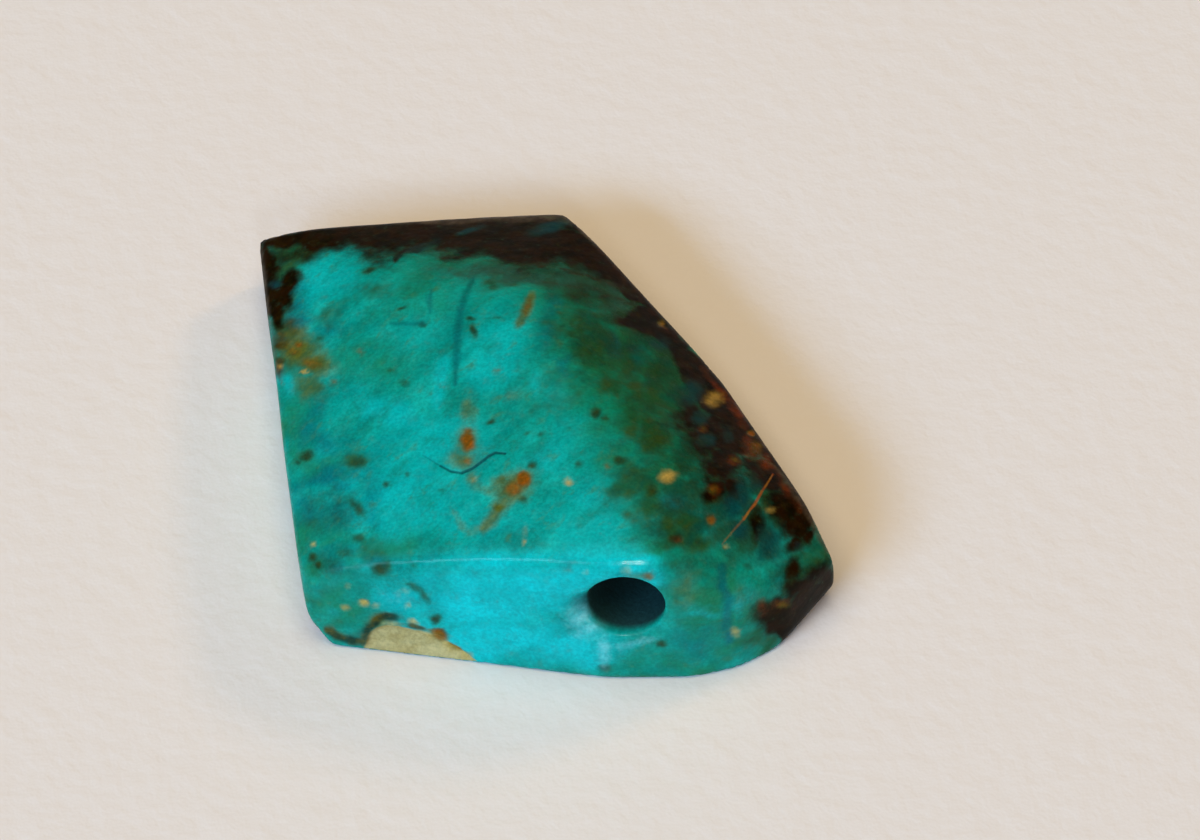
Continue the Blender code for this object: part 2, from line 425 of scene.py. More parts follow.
# Small marks, which lie in the skin only.
SPECKS = Marks(
    spots=(
        (368.5, 269, 8, 3, 15, 1.1),
        (473.5, 330.5, 3.5, 7, 0, 1.1),
        (471.5, 317.8, 4.5, 2, 0, 1.0),
        (498, 317, 4, 1.8, 0, 0.6),
        (401.6, 307.8, 5.5, 1.8, 22, 0.9),
        (422.7, 325, 4, 2.5, 0, 0.8),
        (571, 333, 5, 4, 0, 0.7),
        (562, 325, 4.5, 3, 20, 0.7),
        (573, 321.7, 4, 3, 0, 0.6),
        (596, 413, 5, 5, 0, 1.1),
        (605, 417, 4.5, 3.5, 0, 0.8),
        (592, 351, 7, 8, 0, 0.7),
        (572, 387, 6, 4, 0, 0.5),
        (541, 433, 4.5, 3, 0, 0.7),
        (569, 428, 4, 3, 0, 0.5),
        (533, 466.6, 4.5, 4, 0, 1.0),
        (503, 477.5, 5, 4, 0, 0.7),
        (497.5, 507, 5, 4, 0, 1.0),
        (523, 498, 5, 4, 0, 0.8),
        (491.5, 421, 5, 2.5, 30, 0.9),
        (525, 433, 8, 2.5, 30, 0.6),
        (621, 458.5, 6, 5, 0, 1.0),
        (578.5, 464.5, 5, 4, 0, 0.7),
        (306.6, 454.7, 7, 5, 15, 1.1),
        (299, 461, 5, 4, 0, 0.8),
        (356.5, 461, 9, 6, 0, 0.8),
        (355.5, 506.5, 5, 13, 40, 0.8),
        (358.7, 537, 6, 5, 0, 0.8),
        (346, 553, 8, 5, 0, 0.6),
        (313, 557.7, 5.5, 5, 0, 1.0),
        (319.5, 566.5, 4.5, 4, 0, 1.1),
        (381.4, 569.6, 10, 7, 10, 1.1),
        (310, 522, 12, 8, 0, 0.5),
        (385.8, 484.4, 4, 3.5, 0, 0.8),
        (406.4, 474, 3.5, 3, 0, 0.7),
        (440, 489.4, 5, 3, 0, 0.5),
        (414, 566, 4, 3, 0, 0.5),
        (436.7, 620.6, 5.5, 5.5, 0, 1.1),
        (676.5, 538, 8, 6, 20, 1.0),
        (652.5, 490, 8, 8, 0, 0.9),
        (617, 490, 9, 8, 0, 0.6),
        (702, 540, 9, 6, 0, 0.7),
        (661.7, 644.4, 6, 4, 0, 0.9),
        (604.4, 668.4, 7, 4, 0, 0.8),
        (747.7, 566.7, 5, 4, 0, 0.7),
        (751, 640, 9, 4, 20, 0.6),
        (279, 360, 6, 4, 0, 0.8),
        (281, 345, 6, 4, 0, 1.0),
        (440, 385, 3, 2.5, 0, 0.4),
        (390, 369, 5, 3, 0, 0.5),
        (405, 382, 7, 5, 0, 0.6),
        (493, 285, 8, 4, 0, 0.6),
        (318, 338, 5, 3, 0, 0.6),
        (356, 347, 6, 3, 10, 0.5),
        (672, 563, 6, 4, 0, 0.5),
    ),
    strokes=(Stroke(0.6, ((405, 586, 2.5), (419, 591, 3.5), (428, 602, 4))),),
)
UMBER = Marks(
    spots=(
        (284, 344, 11, 10, 0, 0.9),
        (277, 368, 6, 10, 0, 0.9),
        (294, 330, 10, 10, 0, 0.5),
        (754, 447, 11, 10, 0, 1.1),
        (765, 462, 7, 9, 30, 0.9),
        (743, 424, 4, 8, 30, 0.8),
        (715, 490, 7, 6, 0, 0.8),
        (735, 458, 7, 6, 0, 0.7),
        (703, 428, 6, 5, 0, 0.5),
        (782, 604, 10, 5, 0, 0.7),
        (763, 608, 5, 9, 0, 0.9),
        (676, 539, 7, 4, 0, 0.7),
    ),
    strokes=(
        Stroke(0.3, ((600, 250, 3), (626, 282, 3), (648, 306, 3), (676, 340, 2))),
        Stroke(0.8, ((702, 368, 3), (722, 393, 4), (741, 416, 4))),
        Stroke(0.6, ((768, 462, 4), (786, 488, 4), (800, 510, 4))),
    ),
)
RUST = Marks(
    spots=(
        (468.5, 431, 5, 5, 0, 0.8),
        (468, 441, 6, 9, 2, 1.3),
        (524, 479, 7, 6, 20, 1.3),
        (514, 486, 10, 7, 25, 0.8),
        (466, 463, 5, 4, 0, 0.5),
        (312, 363, 13, 6, -8, 0.55),
        (295, 350, 8, 5, 0, 0.55),
        (299, 343.5, 5, 4, 0, 0.7),
        (334, 381, 5, 4, 0, 0.45),
        (498, 369.5, 5, 3, 25, 0.5),
        (608, 466, 4, 4, 0, 0.5),
        (711.7, 520.5, 5, 5, 0, 0.8),
        (714, 490, 4, 4, 0, 0.6),
        (751, 433, 3.5, 3, 0, 1.2),
        (757, 448, 7, 6, 0, 0.5),
        (663, 324, 5, 3, -35, 0.6),
        (735, 458.5, 4, 3, 0, 0.5),
        (648.8, 577, 6, 4, 0, 0.8),
        (782, 605.5, 6, 3, 0, 0.6),
        (438, 637, 7, 5, -30, 1.2),
        (455, 650, 7, 3, -25, 0.9),
        (702.5, 428, 4, 3, 0, 0.4),
        (509, 395, 7, 4, 30, 0.35),
        (445, 385, 5, 3, 0, 0.35),
        (360, 352, 6, 4, 0, 0.4),
    ),
    strokes=(
        Stroke(0.5, ((530, 302, 3), (526, 312, 3))),
    ),
)
TAN = Marks(
    spots=(
        (714, 398, 9, 7, 0, 0.8),
        (668, 476, 8, 5.5, 0, 1.2),
        (568, 482, 5, 4, 0, 0.9),
        (770.8, 508.4, 6, 4, 0, 0.6),
        (725.5, 547, 3.5, 3, 0, 0.6),
        (346.7, 587, 4, 4, 0, 0.5),
        (363, 604, 5, 3.5, 0, 1.1),
        (344.6, 607.6, 4.5, 3.5, 0, 0.8),
        (407.4, 606.5, 4, 4, 0, 0.6),
        (376, 605.4, 4, 3, 0, 0.6),
        (403, 592.4, 6, 4, 0, 0.4),
        (525.6, 542.5, 2.5, 5, 0, 0.8),
        (525, 530, 3, 8, 0, 0.4),
        (586, 572.5, 4, 3, 0, 0.5),
        (627, 569.5, 6, 6, 0, 0.5),
        (734.8, 632.3, 4.5, 4.5, 0, 0.8),
        (303, 371.7, 4, 1.6, 0, 1.2),
        (278, 366, 4, 3, 0, 0.7),
        (312, 544.7, 4, 2.5, 0, 0.8),
        (474, 478, 4, 3, 0, 0.5),
        (663, 324, 4, 3, -35, 0.5),
        (390, 626, 12, 4, -4, 0.8),
        (414, 623, 5, 4, 0, 0.9),
        (428, 636, 16, 5, -20, 0.6),
        (452, 650, 14, 6, -24, 0.7),
        (466, 656, 7, 5, -20, 0.9),
    ),
)
VEIN = Marks(
    spots=(),
    strokes=(
        Stroke(0.8, ((773, 474, 1.0), (767, 484, 1.2), (762, 491, 1.4))),
        Stroke(1.0, ((762, 491, 1.4), (755, 504, 1.5), (750, 510, 1.2), (744, 519, 1.4))),
        Stroke(0.5, ((744, 519, 1.4), (733, 531, 1.3), (722.8, 543.6, 1.0))),
    ),
)
HAIR = Marks(
    spots=(),
    strokes=(
        Stroke(0.5, ((422.6, 454.7, 1.1), (431, 460, 1.2), (440, 465.5, 1.4))),
        Stroke(0.9, ((440, 465.5, 1.2), (450.8, 471.3, 1.4), (461.6, 472.7, 1.4))),
        Stroke(1.1, ((461.6, 472.7, 1.4), (472.5, 468, 1.4), (483.3, 460, 1.4), (489, 455.5, 1.4))),
        Stroke(1.1, ((489, 455.5, 1.4), (495, 452.3, 1.4), (505, 453, 1.1))),
    ),
)
LINES = Marks(
    spots=((448, 320, 5, 26, -6, 0.25),),
    strokes=(
        Stroke(
            0.75,
            ((474, 277, 2), (465, 295, 4), (460, 313, 4.5), (457, 337, 4.5), (456, 360, 4), (455, 384, 2)),
        ),
        Stroke(0.6, ((431, 291, 2), (429.5, 301, 4), (430.5, 312, 2))),
        Stroke(0.6, ((391, 323.8, 2), (408, 324, 3), (424, 323.3, 3))),
    ),
)
HOST = Marks(
    spots=((396, 648, 20, 20, 0, 1.3),),
    strokes=(
        Stroke(1.3, ((386, 649, 22), (400, 652, 23), (430, 658, 21), (450, 664, 18), (468, 673, 15))),
    ),
)
SEAM = Marks(
    spots=(
        (388, 618, 12, 4, -10, 1.1),
        (416, 629, 8, 3, -14, 1.0),
        (443, 635, 6, 3, -30, 0.7),
        (330, 632, 7, 4, -30, 0.9),
        (352, 641, 10, 4.5, -8, 1.1),
    ),
    strokes=(
        Stroke(
            1.0,
            ((326, 631, 3), (336, 637, 4), (350, 641, 5), (362, 642, 5), (368, 632, 5), (378, 619, 4)),
        ),
        Stroke(
            0.35,
            ((392, 621, 3), (404, 626, 3), (420, 630, 3), (436, 635, 3), (454, 646, 3), (472, 656, 2)),
        ),
    ),
)
OCHRE = Marks(
    spots=(
        (469, 408, 7, 13, 0, 0.7),
        (467, 440, 11, 14, 0, 0.8),
        (461, 461, 14, 8, 0, 0.7),
        (517, 393, 8, 5, 30, 0.5),
        (512, 485, 19, 12, 25, 1.1),
        (300, 351, 20, 12, 0, 0.9),
        (317, 364, 16, 9, -8, 1.1),
        (298, 337, 14, 12, 0, 0.6),
        (308, 385, 16, 13, 0, 0.5),
        (378, 620, 8, 8, 0, 0.8),
        (636, 577, 7, 5, 0, 0.5),
        (686, 588, 12, 22, 0, 0.5),
        (745, 600, 12, 14, 0, 0.4),
    ),
    strokes=(
        Stroke(1.0, ((532, 297, 4), (527, 310, 5), (518, 325, 4))),
        Stroke(0.9, ((516, 490, 8), (505, 500, 8), (497, 508, 7), (493, 519, 6), (484, 527, 4))),
        Stroke(0.45, ((484, 527, 4), (470, 530, 4), (460, 522, 4), (455, 514, 3))),
        Stroke(0.6, ((470, 476, 4), (478, 486, 4), (490, 492, 6))),
    ),
)
# Whitish scuffs and breakout beside the hole, and one painted highlight on the rim under the hole.
SCUFF_AND_RIM_HIGHLIGHT = Marks(
    spots=(
        (580, 614, 15, 12, 30, 1.1),
        (590, 628, 20, 9, 20, 0.9),
        (604, 650, 7, 15, 0, 1.0),
        # This spot is a painted highlight on the rim under the hole.
        (637, 642, 22, 5, 12, 0.8),
        (396, 600, 14, 5, 0, 0.4),
    ),
)
# Where handling has polished the ridge above the front; this changes no colour.
RIDGE = Marks(
    spots=(),
    strokes=(
        Stroke(1.0, ((400, 564, 10), (470, 561, 12), (606, 562, 12), (652, 565, 12), (676, 568, 8))),
    ),
)
FAMILIES = {
    "green": GREEN,
    "bright": BRIGHT,
    "pale_and_ridge_highlight": PALE_AND_RIDGE_HIGHLIGHT,
    "deep": DEEP_AND_BEVEL_SHADE,
    "shade_and_veil": SHADE_AND_VEIL,
    "moss": MOSS,
    "olive": OLIVE,
    "matrix": MATRIX_AND_TIP_SHADE,
    "islet": ISLET,
    "worn": RIM_REFLECTION_AND_SHADE,
    "streak": STREAK,
    "specks": SPECKS,
    "umber": UMBER,
    "ochre": OCHRE,
    "rust": RUST,
    "tan": TAN,
    "vein": VEIN,
    "lines": LINES,
    "hair": HAIR,
    "seam": SEAM,
    "host": HOST,
    "scuff_and_rim_highlight": SCUFF_AND_RIM_HIGHLIGHT,
    "ridge": RIDGE,
}
BROAD_FAMILIES = ("green", "bright", "pale_and_ridge_highlight", "deep", "shade_and_veil", "moss", "olive", "matrix")
EXACT_FAMILIES = ("vein", "lines", "hair", "ridge")
FINE_FAMILIES = (STREAK, SPECKS, RUST, TAN, LINES, SEAM, HOST)
LINE_FAMILIES = (VEIN, HAIR)
MARK_REACH = 2.0  # a mark fades out at this many times its half size
# How the edges of marks wander: (waves per millimetre, pixels of wandering).
BROAD_WANDER = ((0.8, 12.0), (2.2, 6.0))
SMALL_WANDER = ((1.6, 3.0), (4.5, 1.3))
WANDER_SEED = 5  # without a seed, Blender would draw other edges in every run


def rgb(red, green, blue):
    """Linear colour from the 0 to 255 values of a display."""
    shares = np.array((red, green, blue)) / 255
    linear = np.where(shares <= 0.04045, shares / 12.92, ((shares + 0.055) / 1.055) ** 2.4)
    return (*(float(value) for value in linear), 1.0)


# ---------------------------------------------------------------- shape of the stone
def facing(azimuth, lift):
    """Unit vector that points along a compass angle, lifted above the horizontal."""
    turn, rise = radians(azimuth), radians(lift)
    return np.array((cos(rise) * cos(turn), cos(rise) * sin(turn), sin(rise)))


def flat(points, azimuth, lift, reach, height):
    """Distance of points outside one flat, negative on the stone's side of it."""
    rise = radians(lift)
    return points @ facing(azimuth, lift) - (cos(rise) * reach + sin(rise) * height)


def dome(points):
    """Height of points above the domed top."""
    x, y, z = points.T
    across = (x - DOME_TOP.x) ** 2 / (2 * DOME_RADIUS_X)
    along = (y - DOME_TOP.y) ** 2 / (2 * DOME_RADIUS_Y)
    return z - (DOME_TOP.z - across - along)


def rounded(distances, rounding):
    """Outermost of several distances, with the corners between them rounded."""
    stack = np.stack(distances)
    outermost = stack.max(axis=0)
    spread = np.exp((stack - outermost) / rounding).sum(axis=0)
    return outermost + rounding * np.log(spread)


def whole_stone(points):
    """Distance of points outside the ground stone without its hole."""
    walls = [flat(points, *wall, WALL_HEIGHT) for wall in WALLS]
    crest = [dome(points)] + [flat(points, *slope) for slope in SLOPES]
    top = [rounded(crest, SLOPE_ROUNDING)] + [flat(points, *bevel) for bevel in BEVELS]
    base = [-points[:, 2]] + [flat(points, *cut) for cut in UNDERCUTS]
    sides = rounded(walls, WALL_ROUNDING)
    crown = rounded(top, TOP_ROUNDING)
    foot = rounded(base, BASE_ROUNDING)
    front = np.clip((RIDGE_WEAR_START - points[:, 1]) / RIDGE_WEAR_RANGE, 0, 1)
    upper = rounded((sides, crown), EDGE_ROUNDING + RIDGE_WEAR * front)
    return rounded((upper, foot), EDGE_ROUNDING)


def in_hole(points):
    """How deep points are inside the stringing hole, negative outside it."""
    heading = facing(*HOLE_HEADING)
    offset = points - np.array(HOLE_MOUTH)
    along = offset @ heading
    return HOLE_RADIUS - np.linalg.norm(offset - along[:, None] * heading, axis=1)


def in_chip(points):
    """How deep points are inside the chip beside the hole, negative outside it."""
    return CHIP_RADIUS - np.linalg.norm(points - np.array(CHIP_CENTRE), axis=1)


def outside(points):
    """Distance of points, in the row frame, outside the drilled stone."""
    flats_frame = points + np.array(CENTRE)
    chipped = rounded((whole_stone(flats_frame), in_chip(flats_frame)), CHIP_ROUNDING)
    return rounded((chipped, in_hole(flats_frame)), HOLE_ROUNDING)


def slope(points):
    """Gradient of the distance outside the stone."""
    steps = np.eye(3) * SLOPE_STEP
    sides = [(outside(points + step) - outside(points - step)) / (2 * SLOPE_STEP) for step in steps]
    return np.stack(sides, axis=1)


def fitted(points):
    """Points moved onto the exact surface of the stone."""
    for _ in range(FITTING_STEPS):
        gradient = slope(points)
        steepness = np.maximum((gradient**2).sum(axis=1), LEAST_STEEPNESS)
        points = points - gradient * (outside(points) / steepness)[:, None]
    return points


# ---------------------------------------------------------------- marks as fields
def in_picture(points):
    """Picture coordinates u and v of points."""
    rise = radians(CAMERA_ELEVATION)
    ahead = np.array((0, cos(rise), -sin(rise)))
    up = np.array((0, sin(rise), cos(rise)))
    offset = points - np.array(CAMERA_TARGET)
    depth = CAMERA_DISTANCE + offset @ ahead
    u = PICTURE_WIDTH / 2 + FOCAL_PIXELS * offset[:, 0] / depth
    v = PICTURE_HEIGHT / 2 - FOCAL_PIXELS * (offset @ up) / depth
    return u, v


def wandered(points, wander):
    """Picture coordinates of points, pushed about smoothly so that marks turn ragged."""
    noise.seed_set(WANDER_SEED)
    u, v = in_picture(points)
    for waves, pixels in wander:
        push = pixels * np.array([noise.noise_vector(point) for point in points * waves])
        u, v = u + push[:, 0], v + push[:, 1]
    return u, v


def faded(distance, strength):
    """Strength of a mark at a distance given as a share of its half size."""
    near = np.clip(1 - distance / MARK_REACH, 0, 1)
    return strength * near * near * (3 - 2 * near)


def spot_strength(u, v, spot):
    """Strength of one spot at each place."""
    u0, v0, half_width, half_height, turn, strength = spot
    angle = radians(turn)
    across = (u - u0) * cos(angle) - (v - v0) * sin(angle)
    down = (u - u0) * sin(angle) + (v - v0) * cos(angle)
    return faded(np.hypot(across / half_width, down / half_height), strength)


def stroke_strength(u, v, stroke):
    """Strength of one stroke at each place, by the nearest of its straight runs."""
    nearest = np.full(len(u), MARK_REACH)
    for (u0, v0, width0), (u1, v1, width1) in zip(stroke.path, stroke.path[1:]):
        run, fall = u1 - u0, v1 - v0
        share = np.clip(((u - u0) * run + (v - v0) * fall) / (run**2 + fall**2), 0, 1)
        away = np.hypot(u - u0 - run * share, v - v0 - fall * share)
        nearest = np.minimum(nearest, away / (width0 + (width1 - width0) * share))
    return faded(nearest, stroke.strength)


def mark_strength(u, v, marks):
    """Strength of the strongest mark of a family at each place."""
    strengths = [np.zeros(len(u))]
    strengths += [spot_strength(u, v, spot) for spot in marks.spots]
    strengths += [stroke_strength(u, v, stroke) for stroke in marks.strokes]
    return np.max(strengths, axis=0)


# ---------------------------------------------------------------- skin
def coordinates(mesh):
    """Places of a mesh's vertices, one row each."""
    numbers = np.empty(len(mesh.vertices) * 3)
    mesh.vertices.foreach_get("co", numbers)
    return numbers.reshape(-1, 3)


def voxel_skin():
    """The CAD solid's skin in millimetres, remade as an even net of small quads."""
    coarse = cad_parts[NODE].data.copy()
    coarse.transform(Matrix.Scale(1 / MM, 4))
    holder = bpy.data.objects.new("coarse", coarse)
    bpy.context.scene.collection.objects.link(holder)
    remesh = holder.modifiers.new("remesh", "REMESH")
    remesh.mode = "VOXEL"
    remesh.voxel_size = VOXEL
    graph = bpy.context.evaluated_depsgraph_get()
    skin = bpy.data.meshes.new_from_object(holder.evaluated_get(graph))
    bpy.data.objects.remove(holder)
    return skin


def refine(skin, families, cuts):
    """Cuts the net finer round some families of marks."""
    u, v = in_picture(coordinates(skin))
    near = np.max([mark_strength(u, v, marks) for marks in families], axis=0) > FINE_START
    net = bmesh.new()
    net.from_mesh(skin)
    edges = [edge for edge in net.edges if near[edge.verts[0].index] and near[edge.verts[1].index]]
    bmesh.ops.subdivide_edges(net, edges=edges, cuts=cuts, use_grid_fill=True)
    bmesh.ops.triangulate(net, faces=[face for face in net.faces if len(face.verts) > 4])
    net.to_mesh(skin)
    net.free()


def widened(marks):
    """A family of hair lines, as strong wide strokes that cover the skin beside them too."""
    paths = [[(u, v, width * LINE_MARGIN) for u, v, width in stroke.path] for stroke in marks.strokes]
    return Marks(marks.spots, [Stroke(1.0, path) for path in paths])


def store(skin, name, values):
    """Puts one value on each vertex, where the material reads it by name."""
    skin.attributes.new(name, "FLOAT", "POINT").data.foreach_set("value", values.astype(np.float32))


def hidden_from_camera(points, normals):
    """1 where the skin faces away from the camera, 0 where the camera sees it."""
    rise = radians(CAMERA_ELEVATION)
    eye = np.array(CAMERA_TARGET) + CAMERA_DISTANCE * np.array((0, -cos(rise), sin(rise)))
    sight = eye - points
    sight /= np.linalg.norm(sight, axis=1)[:, None]
    return np.clip((HIDDEN_START - (normals * sight).sum(axis=1)) / HIDDEN_RANGE, 0, 1)


def edge_kind(name):
    """How the edges of a family's marks wander."""
    if name in BROAD_FAMILIES:
        return "broad"
    return "exact" if name in EXACT_FAMILIES else "small"


def store_marks(skin, points, hidden):
    """Puts each family's strength on the skin, and hands all of them back."""
    places = {
        "broad": wandered(points, BROAD_WANDER),
        "small": wandered(points, SMALL_WANDER),
        "exact": in_picture(points),
    }
    strengths = {}
    for name, marks in FAMILIES.items():
        kind = edge_kind(name)
        strength = mark_strength(*places[kind], marks)
        strengths[name] = strength if kind == "broad" else strength * (1 - hidden)
        store(skin, name, strengths[name])
    return strengths


def waves(points):
    """Gentle unevenness of the ground flats, from 0 to 1."""
    heights = [noise.noise(point) for point in points * WAVES_PER_MM]
    return np.clip(0.5 + np.array(heights), 0, 1)


def worn(points, normals, strengths):
    """Points sunk a little where the stone is uneven, pitted or broken out."""
    depth = WAVE_DEPTH * waves(points)
    depth += HOST_DEPTH * np.clip((strengths["host"] - HOST_START) / HOST_RANGE, 0, 1)
    for name, deepest in PIT_DEPTHS.items():
        depth += deepest * np.clip(strengths[name], 0, 1)
    depth *= np.clip(points[:, 2] / BASE_FADE, 0, 1)
    return points - normals * depth[:, None]


def nugget_piece():
    """The dressed stone: a fine net, fitted, marked and worn, with its material."""
    skin = voxel_skin()
    beside_lines = [widened(marks) for marks in LINE_FAMILIES]
    refine(skin, (*FINE_FAMILIES, *beside_lines), FINE_CUTS)
    refine(skin, beside_lines, LINE_CUTS)
    points = fitted(coordinates(skin))
    normals = slope(points)
    normals /= np.linalg.norm(normals, axis=1)[:, None]
    hidden = hidden_from_camera(points, normals)
    store(skin, "hidden", hidden)
    strengths = store_marks(skin, points, hidden)
    store(skin, "bore", -whole_stone(points + np.array(CENTRE)))
    low, high = (np.array(corner) / MM for corner in cad_box)
    worn_points = np.clip(worn(points, normals, strengths), low, high)
    skin.vertices.foreach_set("co", (worn_points * MM).ravel())
    skin.shade_smooth()
    skin.name = "polished_nugget"
    piece = bpy.data.objects.new("polished_nugget", skin)
    bpy.context.scene.collection.objects.link(piece)
    piece.data.materials.clear()
    piece.data.materials.append(turquoise())
    return piece


# ---------------------------------------------------------------- node helpers
class Nodes:
    """Short calls that add nodes to a tree and join them up."""

    def __init__(self, tree):
        self.tree = tree
        self.tree.nodes.clear()

    def add(self, kind, **settings):
        node = self.tree.nodes.new(kind)
        for name, value in settings.items():
            setattr(node, name, value)
        return node

    def put(self, socket, value):
        if isinstance(value, bpy.types.NodeSocket):
            self.tree.links.new(value, socket)
        else:
            socket.default_value = value

    def math(self, operation, *values):
        node = self.add("ShaderNodeMath", operation=operation)
        for socket, value in zip(node.inputs, values):
            self.put(socket, value)
        return node.outputs[0]

    def vector(self, operation, first, second):
        node = self.add("ShaderNodeVectorMath", operation=operation)
        self.put(node.inputs[0], first)
        self.put(node.inputs["Scale" if operation == "SCALE" else 1], second)
        return node.outputs[0]

    def mix(self, share, first, second):
        node = self.add("ShaderNodeMix", data_type="RGBA")
        self.put(node.inputs["Factor"], share)
        self.put(node.inputs["A"], first)
        self.put(node.inputs["B"], second)
        return node.outputs["Result"]

    def noise(self, place, scale, detail=3.0, roughness=0.55):
        node = self.add("ShaderNodeTexNoise")
        self.put(node.inputs["Vector"], place)
        self.put(node.inputs["Scale"], scale)
        self.put(node.inputs["Detail"], detail)
        self.put(node.inputs["Roughness"], roughness)
        return node.outputs["Fac"]

    def step(self, value, start, end, low=0.0, high=1.0):
        node = self.add("ShaderNodeMapRange", interpolation_type="SMOOTHSTEP")
        for name, given in (
            ("Value", value),
            ("From Min", start),
            ("From Max", end),
            ("To Min", low),
            ("To Max", high),
        ):
            self.put(node.inputs[name], given)
        return node.outputs["Result"]

    def field(self, name):
        return self.add("ShaderNodeAttribute", attribute_name=name).outputs["Fac"]

    def blotches(self, place, kind):
        """Noise of one kind, made into soft patches."""
        level = self.noise(place, kind.scale, kind.detail, kind.roughness)
        return self.step(level, kind.start, kind.end, kind.low, kind.high)


# ---------------------------------------------------------------- materials
# Each layer covers the skin where its marks, roughened by noise, are stronger than start;
# it is full from end on. Grain is the noise's scale per millimetre, wander is how far the
# noise moves the edge, and cover is the layer's share of the colour where it is full.
Layer = namedtuple("Layer", "marks start end first second grain wander cover")
LAYERS = (
    Layer("green", 0.0, 1.0, rgb(10, 138, 112), rgb(26, 122, 74), 1.4, 1.1, 0.85),
    Layer("bright", 0.0, 1.0, rgb(5, 172, 170), rgb(8, 186, 184), 1.4, 1.0, 0.85),
    # Dark turquoise, and on the front right of the hole the painted shade of a bevel.
    Layer("deep", 0.0, 1.0, rgb(4, 108, 124), rgb(4, 98, 106), 2.0, 0.8, 0.75),
    # Pale turquoise, and along the ridge above the front a painted lit band and painted highlight.
    Layer("pale_and_ridge_highlight", 0.0, 0.9, rgb(10, 188, 186), rgb(12, 206, 206), 1.4, 0.8, 0.85),
    # Painted shade and painted reflection veil on the back slope.
    Layer("shade_and_veil", 0.0, 0.9, rgb(40, 86, 78), rgb(42, 70, 54), 2.5, 0.9, 0.88),
    Layer("moss", 0.0, 1.0, rgb(14, 58, 44), rgb(30, 58, 22), 2.2, 1.1, 0.85),
    Layer("olive", 0.05, 1.1, rgb(50, 76, 20), rgb(28, 84, 46), 3.0, 1.3, 0.8),
    # The matrix layers also paint shade on the tip's lower right wall.
    Layer("matrix", 0.0, 0.7, rgb(36, 58, 22), rgb(18, 58, 44), 2.8, 0.9, 0.8),
    Layer("matrix", 0.2, 0.95, rgb(32, 15, 0), rgb(12, 9, 0), 3.2, 1.0, 1.0),
    Layer("islet", 0.1, 1.1, rgb(6, 66, 76), rgb(20, 60, 56), 2.4, 0.9, 0.75),
    # Painted reflections along the rims and painted shade under the tip.
    Layer("worn", 0.1, 1.1, rgb(100, 88, 74), rgb(66, 60, 52), 4.0, 0.5, 0.7),
    Layer("streak", 0.1, 1.0, rgb(54, 32, 10), rgb(30, 42, 30), 4.0, 0.7, 0.7),
    Layer("host", 0.6, 0.75, rgb(188, 178, 124), rgb(170, 156, 100), 2.0, 0.15, 1.0),
    Layer("specks", 0.0, 0.7, rgb(30, 104, 58), rgb(24, 104, 80), 5.0, 0.4, 0.5),
    Layer("specks", 0.2, 1.1, rgb(44, 46, 8), rgb(24, 52, 26), 5.0, 0.5, 0.85),
    Layer("umber", 0.1, 1.0, rgb(110, 46, 8), rgb(62, 32, 8), 3.0, 0.8, 0.85),
    Layer("ochre", 0.0, 1.0, rgb(104, 108, 26), rgb(70, 92, 34), 3.5, 0.7, 0.8),
    Layer("rust", 0.0, 0.7, rgb(92, 96, 28), rgb(66, 72, 22), 5.0, 0.6, 0.6),
    Layer("rust", 0.2, 1.1, rgb(152, 84, 12), rgb(106, 74, 18), 4.0, 0.7, 1.0),
    Layer("tan", 0.1, 1.2, rgb(210, 176, 84), rgb(172, 150, 72), 5.0, 0.5, 0.8),
    Layer("vein", 0.1, 1.1, rgb(168, 118, 40), rgb(160, 72, 36), 3.0, 0.4, 0.8),
    Layer("lines", 0.0, 1.0, rgb(6, 104, 106), rgb(6, 94, 90), 2.0, 0.2, 0.85),
    Layer("hair", 0.1, 1.0, rgb(6, 78, 84), rgb(6, 68, 70), 2.0, 0.0, 0.85),
    Layer("seam", 0.0, 1.0, rgb(86, 74, 12), rgb(24, 42, 26), 3.0, 0.9, 0.9),
    # Whitish scuffs, and a painted highlight on the rim under the hole.
    Layer("scuff_and_rim_highlight", 0.1, 1.2, rgb(130, 212, 212), rgb(84, 196, 200), 5.0, 1.0, 0.6),
)
CLOUD_DARK = rgb(3, 134, 124)
CLOUD_MAIN = rgb(6, 158, 146)
CLOUD_LIGHT = rgb(18, 178, 166)
MOTTLE_COLOUR = rgb(14, 128, 108)
FLECK_COLOUR = rgb(62, 122, 80)
# The wall of the hole is painted darker with depth: painted shade inside the hole.
BORE_SHADE_COLOUR = rgb(32, 68, 68)
BORE_SHADE_RANGE = (0.05, 0.4)  # millimetres into the hole over which its wall turns dark
HIDDEN_DARK = rgb(22, 24, 14)
HIDDEN_BROWN = rgb(74, 48, 18)
MOTTLED_LAYER = "deep"  # the mottling lies over this layer and under the ones after it

# Noise is given by its scale per millimetre, detail and roughness. Blotches are noise made
# into patches that start and are full at two levels, with their values outside and inside.
Blotches = namedtuple("Blotches", "scale detail roughness start end low high", defaults=(0.0, 1.0))
CLOUDS = (1.3, 7.0, 0.62)
CLOUD_MAIN_RANGE = (0.36, 0.52)
CLOUD_LIGHT_RANGE = (0.5, 0.66)
MOTTLING = Blotches(1.9, 5.0, 0.6, 0.5, 0.7, 0.0, 0.5)
FLECKS = Blotches(3.2, 3.0, 0.5, 0.58, 0.8, 0.0, 0.55)
LAYER_TONES = (4.0, 0.55, 0.35, 0.65)  # detail, roughness, start and end of a second colour
FINE_GRAIN = Blotches(12.0, 2.0, 0.55, 0.3, 0.7, 0.88, 1.12)
NOISE_MIDDLE = 0.5
STREAK_TURN = radians(45)  # the faint streaks of the stone run up to the right
STREAK_STRETCH = 1.7

